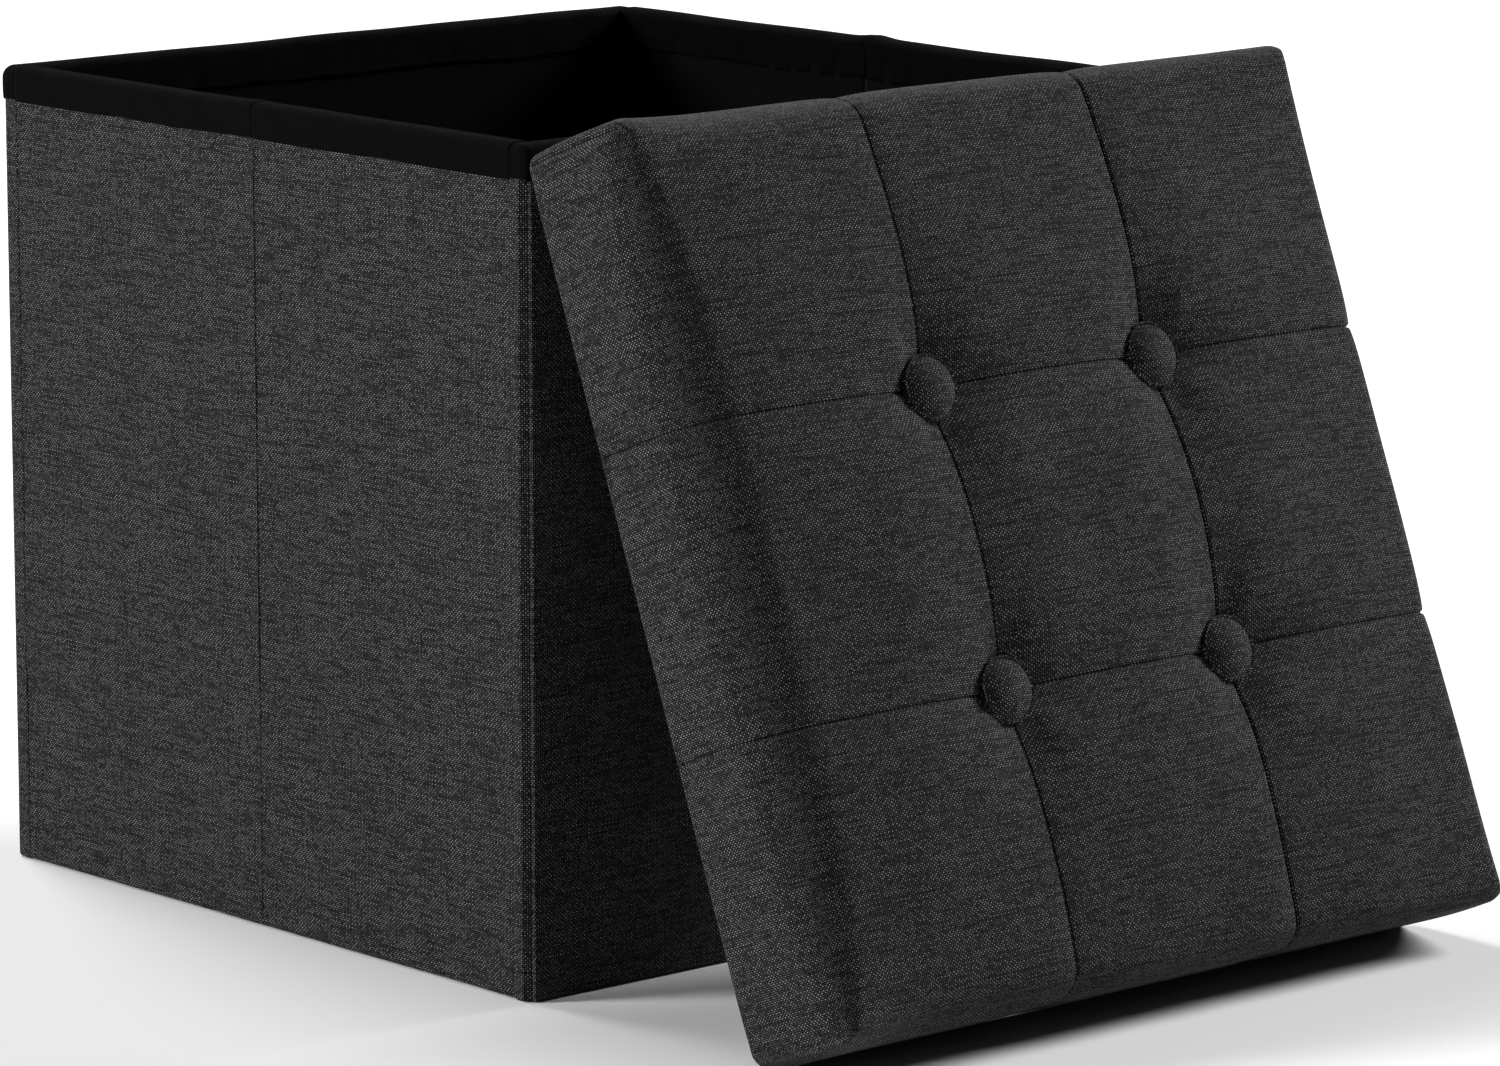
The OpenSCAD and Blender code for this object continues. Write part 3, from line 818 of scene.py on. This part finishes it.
def lid_cushion():
    """The tufted linen cover."""
    line_n = np.concatenate([LID_FOOT + np.arange(8) * MM, np.linspace(11 * MM, 42 * MM, 14),
                             np.linspace(44 * MM, LID_EDGE, 17)])
    cover = closed_block("lid_cushion_cover", lid_line(), line_n, lambda p: cushion(p)[0], LINEN)
    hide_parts("lid_cover")
    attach(cover, "lid")


def lid_foam():
    """The foam pad inside the cover, flat on the board."""
    foot = LID_BOARD_TOP

    def shape(p):
        q, way = cushion(p, grooves=False)
        q = q - way * FOAM_INSET
        q[..., 2] = np.maximum(q[..., 2], foot)
        q[..., 2] = np.where(p[..., 2] <= LID_FOOT, foot, q[..., 2])
        return q
    line_xy = np.linspace(-LID_HALF, LID_HALF, 101)
    line_n = np.concatenate([[LID_FOOT], np.linspace(foot + 4 * MM, LID_EDGE, 18)])
    foam = closed_block("lid_foam_pad", line_xy, line_n, shape, FOAM)
    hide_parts("lid_foam")
    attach(foam, "lid")


def lid_buttons():
    """Four cloth-covered buttons, domed, with a tucked edge."""
    bm = bmesh.new()
    layer = bm.loops.layers.uv.verify()
    sides = 56
    roll, roll_height, dome_r = 1.6 * MM, 1.9 * MM, 24.4 * MM
    profile = np.concatenate([
        line((BUTTON_R - 3.5 * MM, 0), (BUTTON_R - 1.4 * MM, 0), 4),
        arc((BUTTON_R - roll, roll_height), (roll, roll_height), -80, 60, 12),
        arc((0, -17.6 * MM), (dome_r, dome_r), 55.5, 88, 14)])
    for bx, by in BUTTON_SPOTS:
        rings = []
        for r, n in profile:
            turns = [math.tau * j / sides for j in range(sides)]
            spots = [(bx + r * math.cos(a), by + r * math.sin(a), BUTTON_SEAT + n) for a in turns]
            rings.append([(bm.verts.new(lid_point(np.array(spot))), spot) for spot in spots])
        loops = [[ring[j], ring[(j + 1) % sides], above[(j + 1) % sides], above[j]]
                 for ring, above in zip(rings, rings[1:]) for j in range(sides)]
        for corners in loops + [rings[0], rings[-1]]:
            face = bm.faces.new([vert for vert, _ in corners])
            for loop, (_, spot) in zip(face.loops, corners):
                loop[layer].uv = (spot[0] + 7 * bx, spot[1] + 3 * by)    # other threads on each button
    buttons = new_piece("lid_covered_buttons", bm, LINEN)
    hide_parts("lid_buttons")
    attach(buttons, "lid")


def dust_cover():
    """Thin black cloth stapled over the lid's underside."""
    half = (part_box("lid_dust_cover")[1].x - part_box("lid_dust_cover")[0].x) / 2
    cells = np.linspace(-half, half, 90)
    x, y = np.meshgrid(cells, cells)
    edge = half - np.maximum(np.abs(x), np.abs(y))
    face_at, back_at = 0.15 * MM, 0.75 * MM
    sag = 0.18 * MM * (1 + ripple(61, x, y, 60 * MM)) * smooth(edge, 0, 15 * MM)
    fold = 0.12 * MM * (1 - smooth(edge, 6 * MM, 9 * MM))
    face = lid_point(np.stack([x, y, face_at + sag - fold], -1))
    back = lid_point(np.stack([x, y, np.full(x.shape, back_at)], -1))
    cloth = thick_sheet("lid_dust_cloth", face, back, x, y, LINING)
    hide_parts("lid_dust_cover")
    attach(cloth, "lid")


# ---------------------------------------------------------------- studio
CAMERA_AT = (-2.1097, -2.4976, 0.7703)
CAMERA_TURN, CAMERA_HEIGHT = math.radians(-41.570), math.radians(10.609)    # the way it looks from
SENSOR_WIDTH, LENS = 36.0, 171.0                   # in millimetres
FLOOR_HALF = 30.0
WHITE = (1, 1, 1, 1)


def studio_floor():
    """A wide pale floor."""
    bm = bmesh.new()
    bmesh.ops.create_grid(bm, x_segments=2, y_segments=2, size=FLOOR_HALF)
    mesh = bpy.data.meshes.new("studio_floor")
    bm.to_mesh(mesh)
    bm.free()
    floor = bpy.data.objects.new("studio_floor", mesh)
    bpy.context.scene.collection.objects.link(floor)
    s = Shader("studio_floor")
    grain = s.noise(s.object_coordinates(), 3.0)
    color = s.mix(grain, (0.77, 0.77, 0.77, 1), (0.79, 0.79, 0.79, 1))
    mesh.materials.append(s.finish(color, s.remap(grain, 0, 1, 0.75, 0.85), grain, 0.01 * MM))


def sun(name, toward_light, strength, spread):
    """A far light with a spread in degrees, which softens its shadows."""
    data = bpy.data.lights.new(name, "SUN")
    data.energy = strength
    data.angle = math.radians(spread)
    lamp = bpy.data.objects.new(name, data)
    bpy.context.scene.collection.objects.link(lamp)
    lamp.rotation_mode = "QUATERNION"
    lamp.rotation_quaternion = Vector(toward_light).to_track_quat("Z", "Y")


def studio_world(fill, backdrop):
    """Even fill light, and a pale backdrop behind the floor's edge."""
    world = bpy.data.worlds.new("studio")
    world.use_nodes = True
    bpy.context.scene.world = world
    tree = world.node_tree
    background = tree.nodes["Background"]
    background.inputs["Color"].default_value = WHITE
    seen = tree.nodes.new("ShaderNodeLightPath").outputs["Is Camera Ray"]
    level = tree.nodes.new("ShaderNodeMapRange")
    level.inputs["To Min"].default_value = fill
    level.inputs["To Max"].default_value = backdrop
    tree.links.new(seen, level.inputs["Value"])
    tree.links.new(level.outputs["Result"], background.inputs["Strength"])


def camera():
    """Level view from the front left, a little above."""
    data = bpy.data.cameras.new("camera")
    data.sensor_width = SENSOR_WIDTH
    data.lens = LENS
    cam = bpy.data.objects.new("camera", data)
    bpy.context.scene.collection.objects.link(cam)
    cam.location = CAMERA_AT
    level = math.cos(CAMERA_HEIGHT)
    back = Vector((math.sin(CAMERA_TURN) * level, -math.cos(CAMERA_TURN) * level, math.sin(CAMERA_HEIGHT)))
    cam.rotation_mode = "QUATERNION"
    cam.rotation_quaternion = back.to_track_quat("Z", "Y")
    bpy.context.scene.camera = cam


camera()
studio_floor()
studio_world(fill=0.03, backdrop=1.0)
sun("left_light", (-0.79, 0.48, 0.33), 3.9, 18)
sun("right_light", (0.77, -0.21, 0.50), 4.7, 24)
sun("rear_light", (0.05, 0.62, 0.78), 2.4, 30)
bpy.context.scene.view_settings.view_transform = "Standard"
bpy.context.scene.cycles.denoising_prefilter = "NONE"    # or the weave is smoothed away
make_walls()
fold_stitches("left", -HALF, "left_front_wall")
fold_stitches("right", HALF, "right_front_wall")
base_sleeve()
lid_cushion()
lid_foam()
lid_buttons()
dust_cover()
